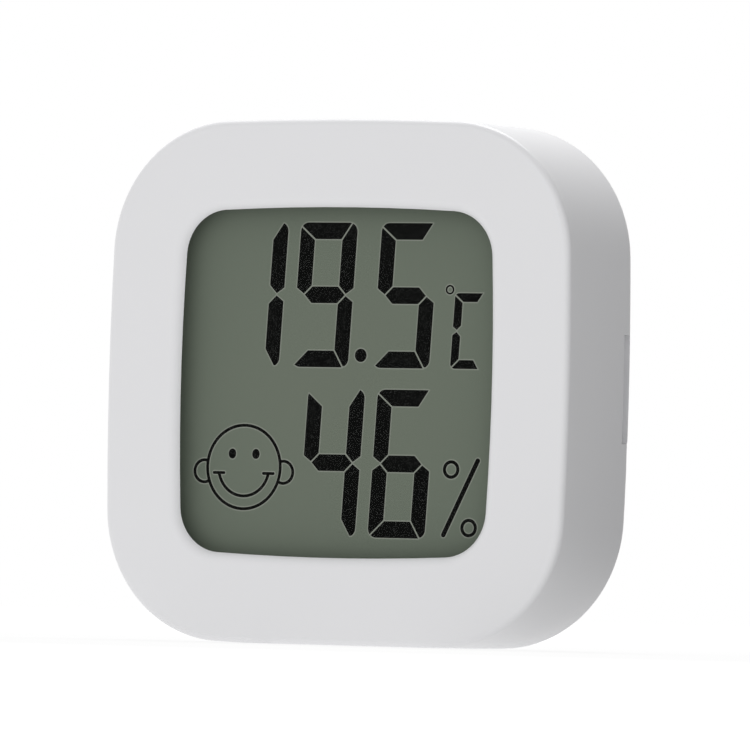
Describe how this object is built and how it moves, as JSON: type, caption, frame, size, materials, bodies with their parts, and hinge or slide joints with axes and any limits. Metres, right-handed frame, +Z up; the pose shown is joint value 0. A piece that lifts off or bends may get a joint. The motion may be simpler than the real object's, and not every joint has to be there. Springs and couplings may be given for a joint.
{
  "type": "temperature humidity sensor",
  "caption": "Rounded-square room thermometer and hygrometer with a reflective display, a push-on back cover, a coin cell and a unit button.",
  "frame": {"origin": "under the middle of the case, on the flat that it stands on", "axes": "+Z up, the display looks along -Y, +X to the right of someone who reads it"},
  "size_m": [0.043, 0.0116, 0.0429],
  "materials": {
    "white_shell": "fine satin moulded plastic",
    "polariser_film": "anti-glare film",
    "display_glass": "clear, polished",
    "cell_seal": "cured seal",
    "figures": "dark liquid crystal",
    "reflector_film": "diffusing film",
    "frame_plastic": "moulded",
    "zebra_rubber": "striped silicone",
    "board_laminate": "solder mask",
    "resin": "cured resin",
    "steel": "nickel plated",
    "spring_metal": "plated spring strip",
    "cell_steel": "turned and brushed",
    "switch_plastic": "moulded",
    "plunger_plastic": "moulded",
    "sensor_case": "moulded",
    "bead_epoxy": "dipped",
    "can_metal": "drawn can",
    "resistor_body": "fired coating",
    "capacitor_body": "ceramic"
  },
  "bodies": {
    "case": {"front_housing": "white_shell", "front_polariser": "polariser_film", "lcd_front_glass": "display_glass", "lcd_cell_seal": "cell_seal", "temperature_digits": "figures", "humidity_digits": "figures", "unit_marks": "figures", "comfort_icon": "figures", "lcd_rear_glass": "display_glass", "lcd_reflector": "reflector_film", "lcd_frame": "frame_plastic", "upper_zebra_strip": "zebra_rubber", "lower_zebra_strip": "zebra_rubber", "circuit_board": "board_laminate", "board_screws": "steel", "controller_blob": "resin", "battery_holder": "switch_plastic", "negative_contact": "spring_metal", "positive_contact": "spring_metal", "switch_body": "switch_plastic", "humidity_sensor": "sensor_case", "thermistor": "bead_epoxy", "timing_crystal": "can_metal", "chip_resistors": "resistor_body", "chip_capacitors": "capacitor_body"},
    "cover": {"back_cover": "white_shell"},
    "cell": {"coin_cell": "cell_steel"},
    "button": {"unit_button": "white_shell"},
    "plunger": {"switch_plunger": "plunger_plastic"}
  },
  "joints": [
    {"name": "cover_pull", "type": "slide", "parent": "case", "child": "cover", "axis": [0, 1, 0], "range_m": [0, 0.024]},
    {"name": "cell_lift", "type": "slide", "parent": "case", "child": "cell", "axis": [0, 1, 0], "range_m": [0, 0.012]},
    {"name": "button_press", "type": "slide", "parent": "cover", "child": "button", "axis": [0, -1, 0], "range_m": [0, 0.00035], "stiffness_N_per_m": 600},
    {"name": "plunger_press", "type": "slide", "parent": "case", "child": "plunger", "axis": [0, -1, 0], "range_m": [0, 0.00035]}
  ],
  "couplings": [
    {"joint": "cell_lift", "follows": "cover_pull", "ratio": 0.5},
    {"joint": "plunger_press", "follows": "button_press", "ratio": 1}
  ]
}
